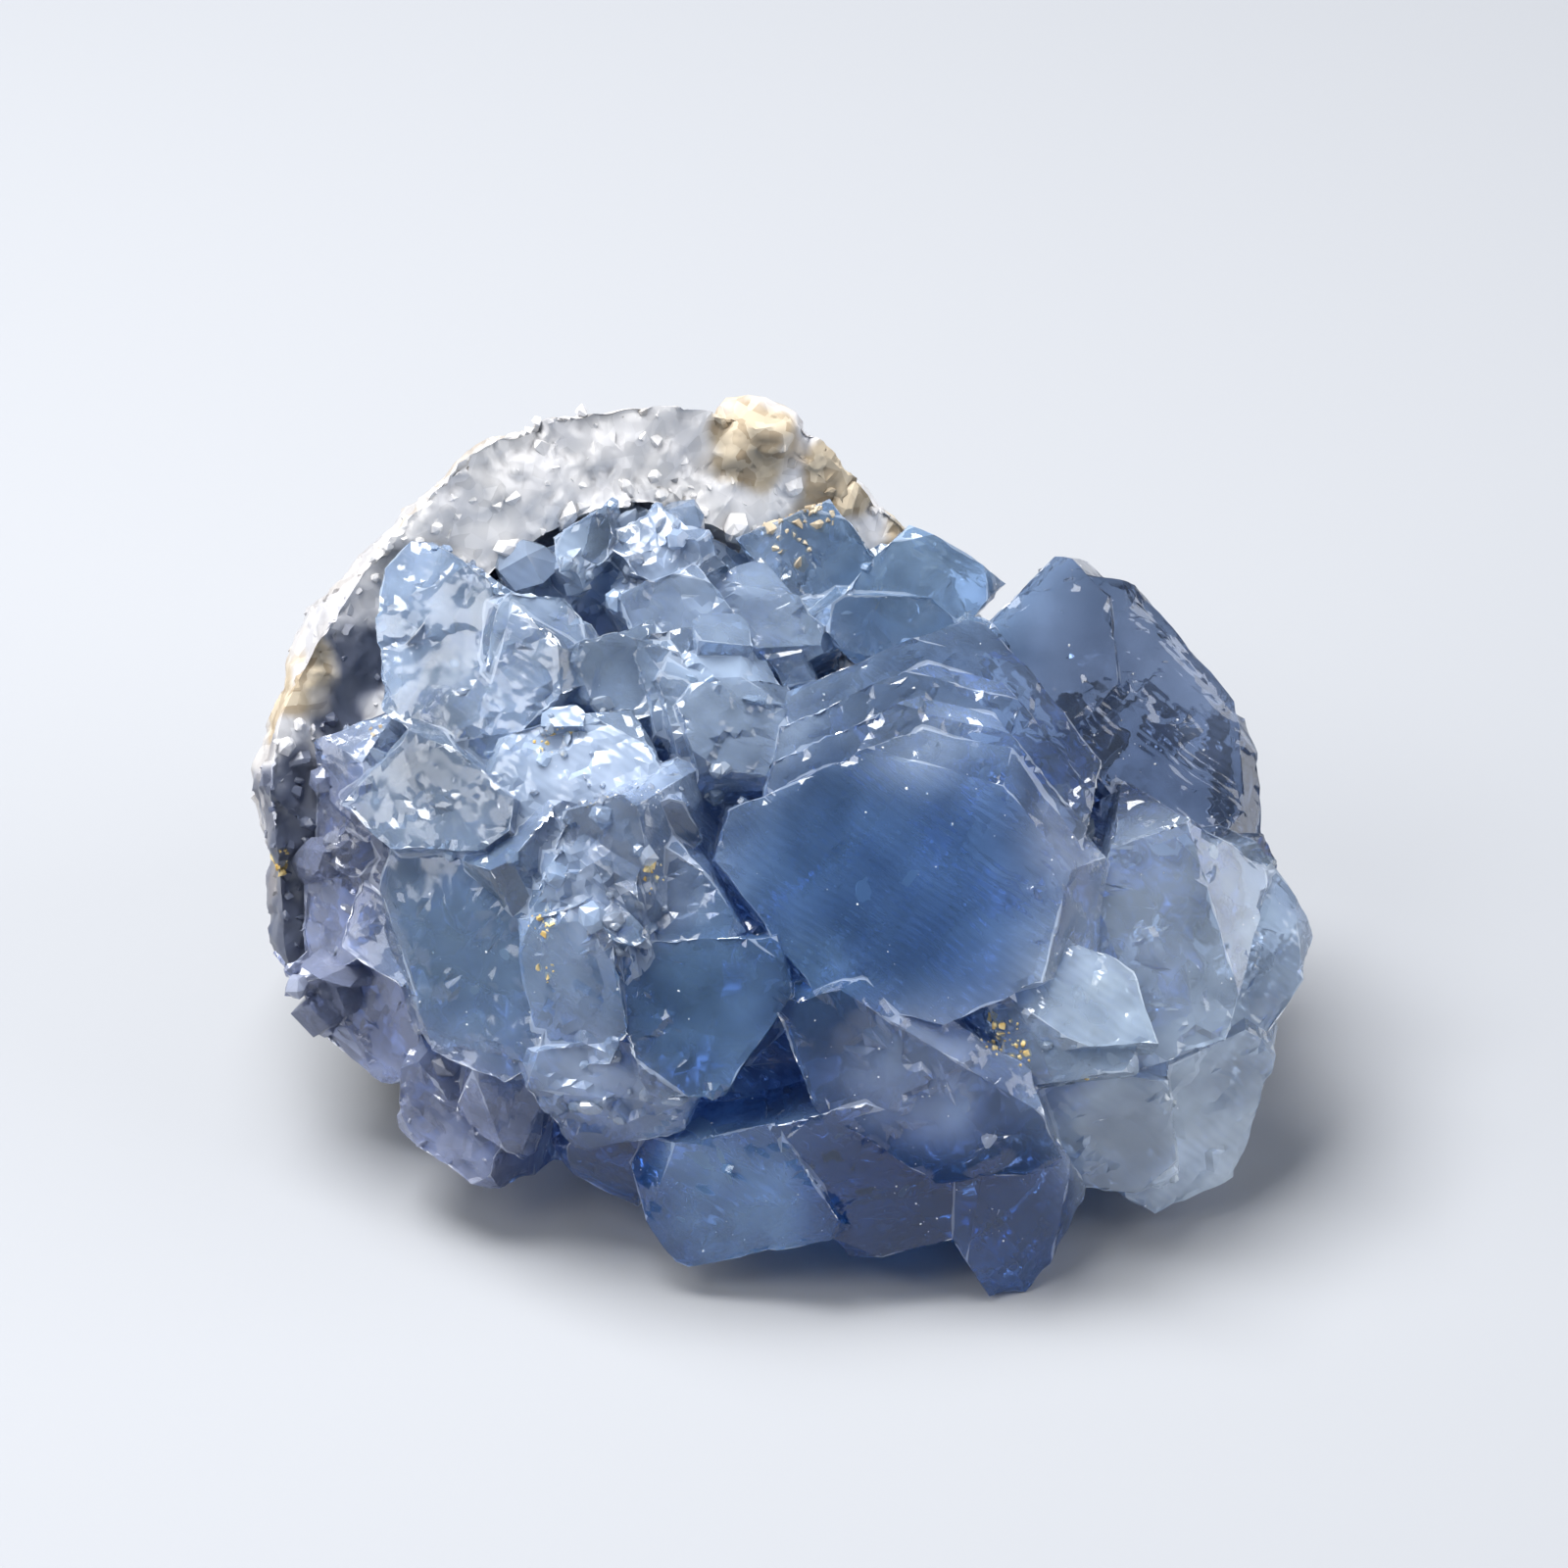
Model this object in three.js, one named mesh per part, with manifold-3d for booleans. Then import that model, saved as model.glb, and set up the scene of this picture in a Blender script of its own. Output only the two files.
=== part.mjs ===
// Celestite geode fragment. A curved rind of white granular wall holds a druse of blue celestite
// crystals that grew together into one mass. Millimetres, +Z up; the viewer stands at -Y.
import * as THREE from 'three';
import { ConvexGeometry } from 'three/addons/geometries/ConvexGeometry.js';
import { ImprovedNoise } from 'three/addons/math/ImprovedNoise.js';
import { mergeVertices } from 'three/addons/utils/BufferGeometryUtils.js';
import Module from 'manifold-3d';

// Driving dimensions
const WALL = 9; // thickness of the rind at its rim
const GAP = 0.3; // air left between the rind and the druse
const RIND_CENTRE = [-8.5, 6, 19]; // middle of the nodule that the rind is a piece of
const RIND_RADII = { x: 30, y: 29, up: 34, down: 20.5 };
const RIND_DETAIL = 10; // subdivisions of the icosahedron that becomes the rind's skin
const LINING_DETAIL = 4; // and of the one that becomes its lining
const LUMP = { height: 2.4, width: 12 }; // rolling lumps of the outer skin
const GRAIN = { height: 1, width: 5 }; // knobs of granular crystal on the skin
const RIM = { normal: [0.4, -0.85, 0.345], offset: -4.8 }; // the break that opened the nodule
const BREAK = { size: 110, cells: 24 }; // the block that stands for what broke away
const HACKLE = { height: 2.6, width: 11 }; // broken grains of the rim
// A lump of host rock stuck on the rim, and its relief
const TAN_LUMP = { centre: [-2, 24.5, 42.8], radii: { x: 3.6, y: 3.4, up: 2.8, down: 4 }, detail: 3 };
const CRUMBLE = { height: 2, width: 3.6 };
// The solid middle that the crystals grow out of, and its knuckles
const HEART = { centre: [1, -1, 16], radii: { x: 31, y: 17, up: 15, down: 17 }, detail: 6 };
const HEART_LUMP = { height: 3, width: 8 };
// Small crystals spread over the whole druse, of which those in the frosted patches are kept. The shape of
// each is in shares of its own size.
const OVERGROWTH = { count: 146, smallest: 1.1, largest: 2.8, tilt: 0.6, seed: 900 };
const SMALL = { proud: 0.3, depth: 2, least: 0.75, most: 1.15 };
const FROST = [
  { centre: [-13.6, -10, 34], radius: 8 },
  { centre: [-10, -17, 29], radius: 6 },
  { centre: [-8, 9, 39], radius: 8 },
  { centre: [3, 14, 36], radius: 8 },
  { centre: [-14, -22, 16], radius: 5 },
  { centre: [-22, -19, 11], radius: 5 },
  { centre: [-34, -5, 20], radius: 9 },
  { centre: [20, -18, 16], radius: 5 },
  { centre: [34, 2, 14], radius: 14 },
  { centre: [22, 15, 14], radius: 13 },
];
const CHIP = { least: 0.02, most: 0.1 }; // share of a crystal's height that a broken corner takes away
const CHIPS = 2; // broken corners of each large crystal
const FLOOR = 0; // height of the flat spots that the piece rests on

// Celestite is orthorhombic: the edges of its cell in angstroms set every angle between its faces.
const CELL = new THREE.Vector3(8.359, 5.352, 6.866);

// The eight edges of a tabular crystal's outer face, round from its left, as Miller indices h and k, with
// the index l of the sloping face that can stand on that edge: form o at the left and right, d above and
// below, p between them.
const EDGES = [
  { name: 'left', h: 0, k: -1, l: 1 },
  { name: 'upperLeft', h: -2, k: -1, l: 2 },
  { name: 'upper', h: -1, k: 0, l: 1 },
  { name: 'upperRight', h: -2, k: 1, l: 2 },
  { name: 'right', h: 0, k: 1, l: 1 },
  { name: 'lowerRight', h: 2, k: 1, l: 2 },
  { name: 'lower', h: 1, k: 0, l: 1 },
  { name: 'lowerLeft', h: 2, k: -1, l: 2 },
];

// Crystals that can be told apart. at is the middle of the face that looks out, face its normal, along its
// left to right axis, reach how far each of the EDGES is from the middle, and depth how far the crystal goes
// back. An edge named in slope has a sloping face of that width. A clean crystal has no broken corners.
const CRYSTALS = {
  greatBlue: {
    at: [8.2, -14.8, 29.5], face: [0.05, -0.76, 0.65], along: [0.96, -0.15, -0.2], depth: 22, clean: true,
    reach: [12.5, 9.5, 9, 11, 12.5, 11, 9, 9], slope: { upper: 4, right: 4, upperRight: 3 },
  },
  greatLedges: {
    at: [9.8, -11, 31], face: [0.08, -0.72, 0.69], along: [0.96, -0.1, -0.22], depth: 18, clean: true,
    reach: [11, 9, 9, 10.5, 12.5, 12, 12, 11], slope: { upper: 3 },
    ledges: { count: 2, shift: [0.6, 2.6, 1.2] },
  },
  smallBlue: {
    at: [-5.6, -21, 23.5], face: [-0.1, -0.85, 0.52], along: [0.8, -0.25, -0.5], depth: 14, clean: true,
    reach: [5.5, 4.5, 6, 7, 5.5, 7, 6, 5.5], slope: { left: 3, lower: 2, upper: 2 },
  },
  stairs: {
    at: [-14.4, -19.2, 23.2], face: [-0.45, -0.86, 0.25], along: [0.3, -0.1, 0.95], depth: 12,
    reach: [7, 4, 5, 6, 7, 4, 5, 6], slope: { upper: 3 },
    ledges: { count: 3, shift: [0.8, 1.2, 2.2] },
  },
  leftFlank: {
    at: [-22.4, -14, 23.2], face: [-0.45, -0.8, 0.4], along: [0.2, 0.2, 0.95], depth: 18, clean: true,
    reach: [8.5, 5.5, 8, 10, 8.5, 7.5, 8, 10], slope: { lower: 4, upperLeft: 3 },
  },
  leftShoulder: {
    at: [-25, -7.6, 33.1], face: [-0.35, -0.62, 0.7], along: [0.9, -0.3, 0.2], depth: 16,
    reach: [7, 5.5, 4.5, 3.5, 7, 7, 5, 5.5], slope: { left: 4, upper: 3 },
  },
  upperSlab: {
    at: [-22.3, 1.2, 39.2], face: [-0.3, -0.65, 0.7], along: [0.9, -0.2, 0.3], depth: 13,
    reach: [7, 10, 7, 5, 7, 8, 7, 7.5], slope: { upper: 2, right: 3, lower: 4 },
  },
  upperWindow: {
    at: [-17.6, 0.8, 39.4], face: [0.15, -0.75, 0.62], along: [0.6, -0.2, -0.6], depth: 11,
    reach: [4, 4, 4.5, 4, 4, 4, 4, 4], slope: { left: 2, upperRight: 3 },
  },
  midBlock: {
    at: [-10.3, -2.1, 38.5], face: [0, -0.75, 0.66], along: [0.95, -0.2, -0.25], depth: 14,
    reach: [4.5, 4, 3, 4, 4.5, 3, 3, 4.5], slope: { upper: 4, right: 2, left: 3 },
  },
  midSlab: {
    at: [-2.4, -5.3, 36.3], face: [0.25, -0.6, 0.76], along: [0.85, -0.35, -0.4], depth: 14,
    reach: [5, 4, 3.5, 5.5, 5, 4.5, 3.5, 4], slope: { upper: 3, lower: 3 },
    ledges: { count: 2, shift: [-1.6, 1.8, 0.9] },
  },
  frosted: {
    at: [-13.6, -9.8, 33.6], face: [-0.1, -0.68, 0.73], along: [0.9, -0.3, -0.3], depth: 18,
    reach: [7, 6, 5.5, 6, 7, 6, 5.5, 5.5], slope: { left: 4, right: 4, upper: 4, lower: 4 },
  },
  frostedLow: {
    at: [-9.7, -16, 29], face: [-0.1, -0.8, 0.6], along: [0.9, -0.2, -0.3], depth: 14,
    reach: [7, 4.5, 4.5, 5.5, 7, 4.5, 4.5, 6], slope: { upper: 3, lower: 3, right: 3 },
  },
  frontFoot: {
    at: [7.6, -25.1, 10.3], face: [0.05, -0.98, 0.2], along: [0.9, -0.05, -0.4], depth: 17, clean: true,
    reach: [9, 6.5, 5.5, 6.5, 9, 6, 5.5, 5], slope: { left: 3, lower: 3 },
  },
  footEnd: {
    at: [17.8, -24.6, 7.7], face: [0.35, -0.92, 0.1], along: [0.2, 0, 0.98], depth: 15, clean: true,
    reach: [7.5, 5.5, 3.5, 6.5, 6, 5, 3.5, 6], slope: { upper: 4, lower: 3 },
  },
  keel: {
    at: [10, -23.6, 16.8], face: [0, -0.93, 0.37], along: [0.85, -0.2, -0.5], depth: 13,
    reach: [11.5, 9, 4, 8.5, 11.5, 6.5, 4.5, 7], slope: { upper: 2, right: 3 },
  },
  frontLeftFoot: {
    at: [-1.7, -25.3, 8.9], face: [-0.2, -0.95, 0.2], along: [0.9, -0.1, -0.3], depth: 16, clean: true,
    reach: [6.5, 5.5, 6.5, 5, 6.5, 4.5, 7.5, 8], slope: { right: 3, upper: 3, left: 3 },
  },
  darkFoot: {
    at: [-11, -20, 8.1], face: [-0.1, -0.97, 0], along: [0.9, -0.1, 0.2], depth: 12,
    reach: [4, 4, 3.5, 3.5, 4, 3.5, 4.5, 3.5], slope: { upper: 2, left: 3, lower: 3 },
  },
  lowerFrost: {
    at: [-11.6, -22, 16], face: [-0.15, -0.95, 0.25], along: [0.9, -0.1, -0.3], depth: 12,
    reach: [6, 4.5, 4, 6, 6, 4.5, 4, 5.5], slope: { lower: 2, left: 2, upper: 3 },
  },
  greyKnuckle: {
    at: [-23.9, -17.4, 9.7], face: [-0.4, -0.85, 0.3], along: [0.5, -0.2, -0.8], depth: 13,
    reach: [5, 4, 3.5, 5, 5, 3.5, 3.5, 4.5], slope: { upper: 3, left: 3, lower: 3, right: 2 },
  },
  greyKnuckleBack: {
    at: [-18.7, -18.9, 12.2], face: [0.1, -0.93, 0.3], along: [0.3, -0.1, -0.95], depth: 13,
    reach: [4.5, 4, 2, 3, 4.5, 3.5, 2, 4], slope: { upper: 4, left: 2, lower: 3 },
  },
  greyFlank: {
    at: [-33.4, -3.2, 23.3], face: [-0.6, -0.7, 0.35], along: [0.3, 0.2, 0.9], depth: 11,
    reach: [8.5, 6, 7, 8, 8.5, 7, 7, 8], slope: { lower: 4, left: 3, right: 4, upper: 2 },
  },
  greyFlankLow: {
    at: [-30.4, -7.2, 12.4], face: [-0.55, -0.8, 0.2], along: [0.6, -0.2, -0.7], depth: 11,
    reach: [6, 6, 5.5, 5.5, 6, 5, 5.5, 6.5], slope: { lower: 3, right: 3, upper: 3 },
  },
  paleKnob: {
    at: [30.1, -12.8, 23.1], face: [0.1, -0.82, 0.56], along: [0.3, -0.3, -0.9], depth: 15,
    reach: [8, 7.5, 5.5, 5, 8, 8.5, 5.5, 7.5], slope: { left: 4, upper: 3, lower: 2, lowerRight: 3 },
  },
  paleKnobSlab: {
    at: [35.4, -9.5, 19.5], face: [0.35, -0.85, 0.4], along: [0.1, -0.4, -0.9], depth: 9,
    reach: [8, 6, 3.5, 4.5, 8, 6.5, 3.5, 5.5], slope: { upper: 2 },
  },
  upperBlade: {
    at: [22.3, -18.6, 22.5], face: [0.05, -0.62, 0.78], along: [0.8, -0.4, -0.4], depth: 4,
    reach: [6.5, 4, 3.5, 4, 6.5, 4, 3.5, 6.5], slope: { lower: 2 },
  },
  blade: {
    at: [21, -20.5, 19.9], face: [0.1, -0.7, 0.7], along: [0.85, -0.3, -0.4], depth: 4,
    reach: [6, 3, 2, 4.5, 6, 3, 2, 4.5], slope: { lower: 2, right: 2 },
  },
  bladeRoot: {
    at: [24.5, -14.5, 20.5], face: [0.1, -0.8, 0.6], along: [0.8, -0.3, -0.5], depth: 11,
    reach: [4.5, 4, 4, 4, 4.5, 4, 4, 4], slope: { upper: 3, lower: 3 },
  },
  paleFoot: {
    at: [24.2, -18.9, 10.3], face: [-0.05, -0.97, 0.22], along: [0.7, -0.1, -0.7], depth: 14, clean: true,
    reach: [5.5, 4.5, 5.5, 5, 5.5, 5, 5.5, 4.5], slope: { upper: 3, right: 2 },
  },
  paleFootRight: {
    at: [31.1, -15.7, 8.1], face: [0.3, -0.92, 0.25], along: [0.3, -0.1, -0.95], depth: 14, clean: true,
    reach: [5.5, 8, 7, 4.5, 5.5, 7.5, 7, 4], slope: { upper: 4, upperLeft: 3, left: 3 },
  },
  clearPoint: {
    at: [26.4, 3.6, 32], face: [0.3, -0.8, 0.52], along: [0.45, 0.1, -0.85], depth: 7, clean: true,
    reach: [11.4, 9.3, 5.8, 8.7, 12, 9, 5.5, 4], slope: { upper: 1 },
  },
  clearFlank: {
    at: [18.5, 6.2, 37.5], face: [-0.18, -0.82, 0.55], along: [0.69, -0.5, -0.52], depth: 9, clean: true,
    reach: [2.2, 5.5, 6.1, 6.5, 8, 8, 8, 3.9],
  },
  clearShoulder: {
    at: [32.2, 5, 24.5], face: [0.45, -0.72, 0.5], along: [0.3, 0.2, -0.9], depth: 12,
    reach: [7, 5.5, 5, 5, 7, 5, 5, 5.5], slope: { right: 3, upper: 3, left: 3 },
  },
  backBlue: {
    at: [10.5, 12.2, 37.4], face: [0.1, -0.75, 0.65], along: [0.95, 0.1, 0.1], depth: 13, clean: true,
    reach: [5.5, 3.5, 3.5, 4, 5.5, 5, 3.5, 3.5], slope: { right: 3, upper: 3, left: 3 },
  },
  backBlueLow: {
    at: [9.1, 9.2, 35.3], face: [0.1, -0.9, 0.4], along: [0.95, 0.1, -0.1], depth: 13,
    reach: [5, 4.5, 2.5, 3.5, 5, 4, 2.5, 4], slope: { left: 2, lower: 3 },
  },
  sliver: {
    at: [16, 4, 35.5], face: [0.3, -0.85, 0.4], along: [0.15, 0.3, 0.94], depth: 8,
    reach: [3.5, 2, 1.3, 2, 3, 2, 1.3, 2], slope: { right: 1 },
  },
  backPale: {
    at: [-1.3, 9, 35.6], face: [0, -0.75, 0.66], along: [0.85, 0.2, -0.4], depth: 12,
    reach: [5, 5, 3, 4, 5, 4, 3, 3], slope: { upper: 3, right: 3 },
  },
  backPaleTop: {
    at: [3.5, 15.5, 37.5], face: [0.1, -0.8, 0.58], along: [0.8, 0.3, -0.5], depth: 11,
    reach: [4.5, 4, 3.5, 3.5, 4.5, 4, 3.5, 4], slope: { left: 3, upper: 3 },
  },
  whiteCap: {
    at: [-8.7, 10.9, 40.9], face: [-0.05, -0.8, 0.6], along: [0.98, 0, -0.1], depth: 10,
    reach: [3.5, 3.5, 2, 3, 3.5, 3.5, 2, 3], slope: { upper: 3, left: 2, right: 2 },
  },
  lilacCap: {
    at: [-14.1, 11, 41.6], face: [-0.2, -0.8, 0.55], along: [0.3, 0.3, 0.9], depth: 10,
    reach: [3, 2.5, 2, 2, 2.5, 2.5, 2, 2], slope: { right: 3, left: 2, upper: 2 },
  },
  greyFacets: {
    at: [-7.2, 6.4, 38], face: [0.1, -0.8, 0.6], along: [0.9, 0, -0.3], depth: 12,
    reach: [4.5, 3.5, 3.5, 4, 4.5, 3.5, 3.5, 3.5], slope: { right: 3, upper: 2, left: 2 },
  },
};

const wasm = await Module();
wasm.setup();

const WELD = 1e-4; // corners closer than this are one corner
const PARALLEL = 1e-6; // three planes whose determinant is smaller share no corner

const vector = ([x, y, z]) => new THREE.Vector3(x, y, z);
const random = () => THREE.MathUtils.seededRandom();
const randomBetween = (low, high) => low + (high - low) * random();
const randomDirection = () => vector([random() - 0.5, random() - 0.5, random() - 0.5]).normalize();

// A closed surface as a solid.
function toSolid(geometry) {
  const bare = geometry.clone();
  bare.deleteAttribute('normal');
  bare.deleteAttribute('uv');
  const merged = mergeVertices(bare, WELD);
  return new wasm.Manifold(new wasm.Mesh({
    numProp: 3,
    vertProperties: new Float32Array(merged.attributes.position.array),
    triVerts: new Uint32Array(merged.index.array),
  }));
}

function toGeometry(solid) {
  const mesh = solid.getMesh();
  const geometry = new THREE.BufferGeometry();
  geometry.setAttribute('position', new THREE.BufferAttribute(mesh.vertProperties, 3));
  geometry.setIndex(new THREE.BufferAttribute(mesh.triVerts, 1));
  geometry.computeVertexNormals();
  return geometry;
}

// A plane that faces along normal, at that distance from the middle of the crystal's outer face.
const planeAt = (normal, distance) => new THREE.Plane(normal, -distance);

// The planes of a crystal whose outer face is at the origin and looks along +Z, its left to right axis on Y.
// An edge with no reach is left out.
function crystalPlanes(reach, slope, depth) {
  const planes = [planeAt(vector([0, 0, 1]), 0), planeAt(vector([0, 0, -1]), depth)];
  EDGES.forEach(({ name, h, k, l }, i) => {
    if (reach[i] === 0) return;
    const width = slope[name] ?? 0;
    const side = vector([h, k, 0]).divide(CELL).normalize();
    planes.push(planeAt(side, reach[i] + width));
    if (width) {
      const sloping = vector([h, k, l]).divide(CELL).normalize();
      planes.push(planeAt(sloping, reach[i] * sloping.dot(side)));
    }
  });
  return planes;
}

// The corners where three planes meet and no other plane cuts them off.
function corners(planes) {
  const found = [];
  const matrix = new THREE.Matrix3();
  const inside = (point) => planes.every((plane) => plane.distanceToPoint(point) < WELD);
  for (let i = 0; i < planes.length; i++) {
    for (let j = i + 1; j < planes.length; j++) {
      for (let k = j + 1; k < planes.length; k++) {
        const meeting = [planes[i], planes[j], planes[k]];
        matrix.set(...meeting.flatMap((plane) => plane.normal.toArray()));
        if (Math.abs(matrix.determinant()) < PARALLEL) continue;
        const point = vector(meeting.map((plane) => -plane.constant)).applyMatrix3(matrix.invert());
        if (inside(point)) found.push(point);
      }
    }
  }
  return found;
}

// Planes that break corners off a crystal, on the half that looks out.
function chipPlanes(points, count) {
  return Array.from({ length: count }, () => {
    const normal = randomDirection();
    normal.z = Math.abs(normal.z);
    const share = randomBetween(CHIP.least, CHIP.most);
    const heights = points.map((point) => normal.dot(point));
    const highest = Math.max(...heights);
    const lowest = Math.min(...heights);
    return planeAt(normal, highest - share * (highest - lowest));
  });
}

function crystal({ at, face, along, reach, slope = {}, depth, clean }) {
  const planes = crystalPlanes(reach, slope, depth);
  if (!clean) planes.push(...chipPlanes(corners(planes), CHIPS));
  const outward = vector(face).normalize();
  const across = vector(along).projectOnPlane(outward).normalize();
  const down = new THREE.Vector3().crossVectors(across, outward);
  const place = new THREE.Matrix4().makeBasis(down, across, outward).setPosition(...at);
  return toSolid(new ConvexGeometry(corners(planes)).applyMatrix4(place));
}

// A crystal with the parallel ledges that grew behind it.
function crystalWithLedges(spec) {
  const { count, shift } = spec.ledges ?? { count: 0, shift: [0, 0, 0] };
  let solid = crystal(spec);
  for (let i = 1; i <= count; i++) {
    const at = spec.at.map((value, axis) => value + i * shift[axis]);
    solid = solid.add(crystal({ ...spec, at }));
  }
  return solid;
}

// Points spread evenly over a solid's surface, each with the surface's normal.
function surfacePoints(solid, count) {
  const geometry = toGeometry(solid).toNonIndexed();
  const position = geometry.attributes.position;
  const triangle = new THREE.Triangle();
  const areas = [];
  let total = 0;
  for (let i = 0; i < position.count; i += 3) {
    triangle.setFromAttributeAndIndices(position, i, i + 1, i + 2);
    total += triangle.getArea();
    areas.push(total);
  }
  return Array.from({ length: count }, (_, i) => {
    const target = ((i + random()) / count) * total;
    const index = 3 * areas.findIndex((area) => area >= target);
    triangle.setFromAttributeAndIndices(position, index, index + 1, index + 2);
    const u = Math.sqrt(random());
    const v = random();
    const point = new THREE.Vector3()
      .addScaledVector(triangle.a, 1 - u)
      .addScaledVector(triangle.b, u * (1 - v))
      .addScaledVector(triangle.c, u * v);
    return { point, normal: triangle.getNormal(new THREE.Vector3()) };
  });
}

// Small crystals grown on a solid, wherever grows(point) allows one.
function withSmallCrystals(solid, { count, smallest, largest, tilt, seed }, grows) {
  THREE.MathUtils.seededRandom(seed);
  for (const { point, normal } of surfacePoints(solid, count)) {
    const size = smallest + (largest - smallest) * random() ** 2;
    const outward = normal.clone().addScaledVector(randomDirection(), tilt);
    const across = randomDirection();
    const reach = EDGES.map(({ h, k }) => (h && k ? size * randomBetween(SMALL.least, SMALL.most) : 0));
    const slope = { upperLeft: size * random(), lowerRight: size * random() };
    const depth = SMALL.depth * size;
    if (!grows(point)) continue;
    const at = point.addScaledVector(normal, SMALL.proud * size);
    solid = solid.add(crystal({ at, face: outward, along: across, reach, slope, depth, clean: true }));
  }
  return solid;
}

const noise = new ImprovedNoise();
const bumps = (p, { height, width }) => height * noise.noise(p.x / width, p.y / width, p.z / width);

// A ball stretched to the given radii, with its skin moved out or in by relief(point).
function lumpyBall({ centre, radii, detail }, relief = () => 0) {
  const geometry = new THREE.IcosahedronGeometry(1, detail);
  const position = geometry.attributes.position;
  const point = new THREE.Vector3();
  const out = new THREE.Vector3();
  for (let i = 0; i < position.count; i++) {
    out.fromBufferAttribute(position, i);
    point.set(radii.x, radii.y, out.z > 0 ? radii.up : radii.down).multiply(out).add(vector(centre));
    point.addScaledVector(out, relief(point));
    position.setXYZ(i, ...point);
  }
  return toSolid(geometry);
}

const SKIN = { centre: RIND_CENTRE, radii: RIND_RADII, detail: RIND_DETAIL };
const LINING = { centre: RIND_CENTRE, radii: {}, detail: LINING_DETAIL };
for (const side in RIND_RADII) {
  LINING.radii[side] = RIND_RADII[side] - WALL;
}

// A solid with everything in front of the break taken away.
function behindBreak(solid, grow) {
  const { size, cells } = BREAK;
  const geometry = new THREE.BoxGeometry(size, size, size, cells, cells, 1);
  const outward = vector(RIM.normal).normalize();
  geometry.lookAt(outward.clone().negate());
  geometry.translate(...outward.clone().multiplyScalar(RIM.offset + grow + size / 2));
  const position = geometry.attributes.position;
  const point = new THREE.Vector3();
  for (let i = 0; i < position.count; i++) {
    point.fromBufferAttribute(position, i);
    point.addScaledVector(outward, bumps(point, HACKLE));
    position.setXYZ(i, ...point);
  }
  return solid.subtract(toSolid(geometry));
}

// The wall of the nodule, grown by the given amount on every face.
function rindSolid(grow) {
  const skin = lumpyBall(SKIN, (p) => bumps(p, LUMP) + bumps(p, GRAIN) + grow);
  const lining = lumpyBall(LINING, (p) => bumps(p, LUMP) - grow);
  const lump = lumpyBall(TAN_LUMP, (p) => bumps(p, CRUMBLE) + grow);
  return behindBreak(skin.subtract(lining), grow).add(lump);
}

const onFloor = (solid) => solid.trimByPlane([0, 0, 1], FLOOR);

const inFrost = (point) => FROST.some(({ centre, radius }) => point.distanceTo(vector(centre)) < radius);

let druse = lumpyBall(HEART, (p) => bumps(p, HEART_LUMP)).add(behindBreak(lumpyBall(LINING), 0));
Object.values(CRYSTALS).forEach((spec, i) => {
  THREE.MathUtils.seededRandom(i + 1);
  druse = druse.add(crystalWithLedges(spec));
});
druse = withSmallCrystals(druse, OVERGROWTH, inFrost);
druse = onFloor(druse.subtract(rindSolid(GAP)));
druse = druse.decompose().reduce((a, b) => (a.volume() > b.volume() ? a : b));

const rind = onFloor(rindSolid(0));

// The origin is under the middle of the whole specimen, on the surface that it rests on.
const specimen = new THREE.Group();
function addPiece(name, solid, look) {
  const mesh = new THREE.Mesh(toGeometry(solid), new THREE.MeshStandardMaterial(look));
  mesh.name = name;
  specimen.add(mesh);
}
addPiece('crystals', druse, { color: 0x7f9dc4, roughness: 0.2, metalness: 0 });
addPiece('rind', rind, { color: 0xc9c7c4, roughness: 0.8, metalness: 0 });

const middle = new THREE.Box3().setFromObject(specimen).getCenter(new THREE.Vector3());
specimen.position.set(-middle.x, -middle.y, -FLOOR);

const geode = new THREE.Group();
geode.add(specimen);

export default geode;
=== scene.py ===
# %% [markdown]
# # A celestite geode fragment
# A nodule grew in limestone, its hollow was lined with blue celestite, and one half broke away. What is
# left is a curved white rind and a druse, which is a crust of crystals grown through each other. The solids
# come from the CAD model; this lesson gives them broken edges, frost, grains, colour and light.

# %% Load the frame
import math
import bmesh
import bpy
import numpy as np
from mathutils import Euler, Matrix, Vector, kdtree, noise


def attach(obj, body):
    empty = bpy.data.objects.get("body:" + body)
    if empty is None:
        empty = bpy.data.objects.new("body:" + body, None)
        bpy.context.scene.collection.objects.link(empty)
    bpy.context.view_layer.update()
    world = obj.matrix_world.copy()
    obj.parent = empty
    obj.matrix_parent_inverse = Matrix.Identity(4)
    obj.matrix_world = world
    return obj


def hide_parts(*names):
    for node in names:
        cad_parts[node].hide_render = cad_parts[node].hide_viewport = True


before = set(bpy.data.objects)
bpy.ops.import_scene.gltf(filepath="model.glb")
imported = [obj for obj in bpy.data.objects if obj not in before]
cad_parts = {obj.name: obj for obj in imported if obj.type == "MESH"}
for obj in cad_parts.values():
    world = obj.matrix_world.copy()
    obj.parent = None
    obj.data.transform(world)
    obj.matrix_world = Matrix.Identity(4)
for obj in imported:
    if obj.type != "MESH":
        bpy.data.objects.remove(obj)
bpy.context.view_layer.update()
MM = 0.001

# %% [markdown]
# ## A few helpers
# Colours are written as the sRGB hex values that a painter would pick, and the shaders want linear light,
# so one function turns the first into the second. Another adds a node, sets it and links it in one call. The
# rest are short cuts for what every material needs.

# %% Helpers for colours and nodes
def linear(hex_colour):
    channels = [int(hex_colour[i:i + 2], 16) / 255 for i in (1, 3, 5)]
    return [c / 12.92 if c <= 0.04045 else ((c + 0.055) / 1.055) ** 2.4 for c in channels] + [1.0]


def add_node(tree, kind, inputs=None, **settings):
    node = tree.nodes.new(kind)
    for name, value in settings.items():
        setattr(node, name, value)
    for key, value in (inputs or {}).items():
        if isinstance(value, bpy.types.NodeSocket):
            tree.links.new(value, node.inputs[key])
        else:
            node.inputs[key].default_value = value
    return node


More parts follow.
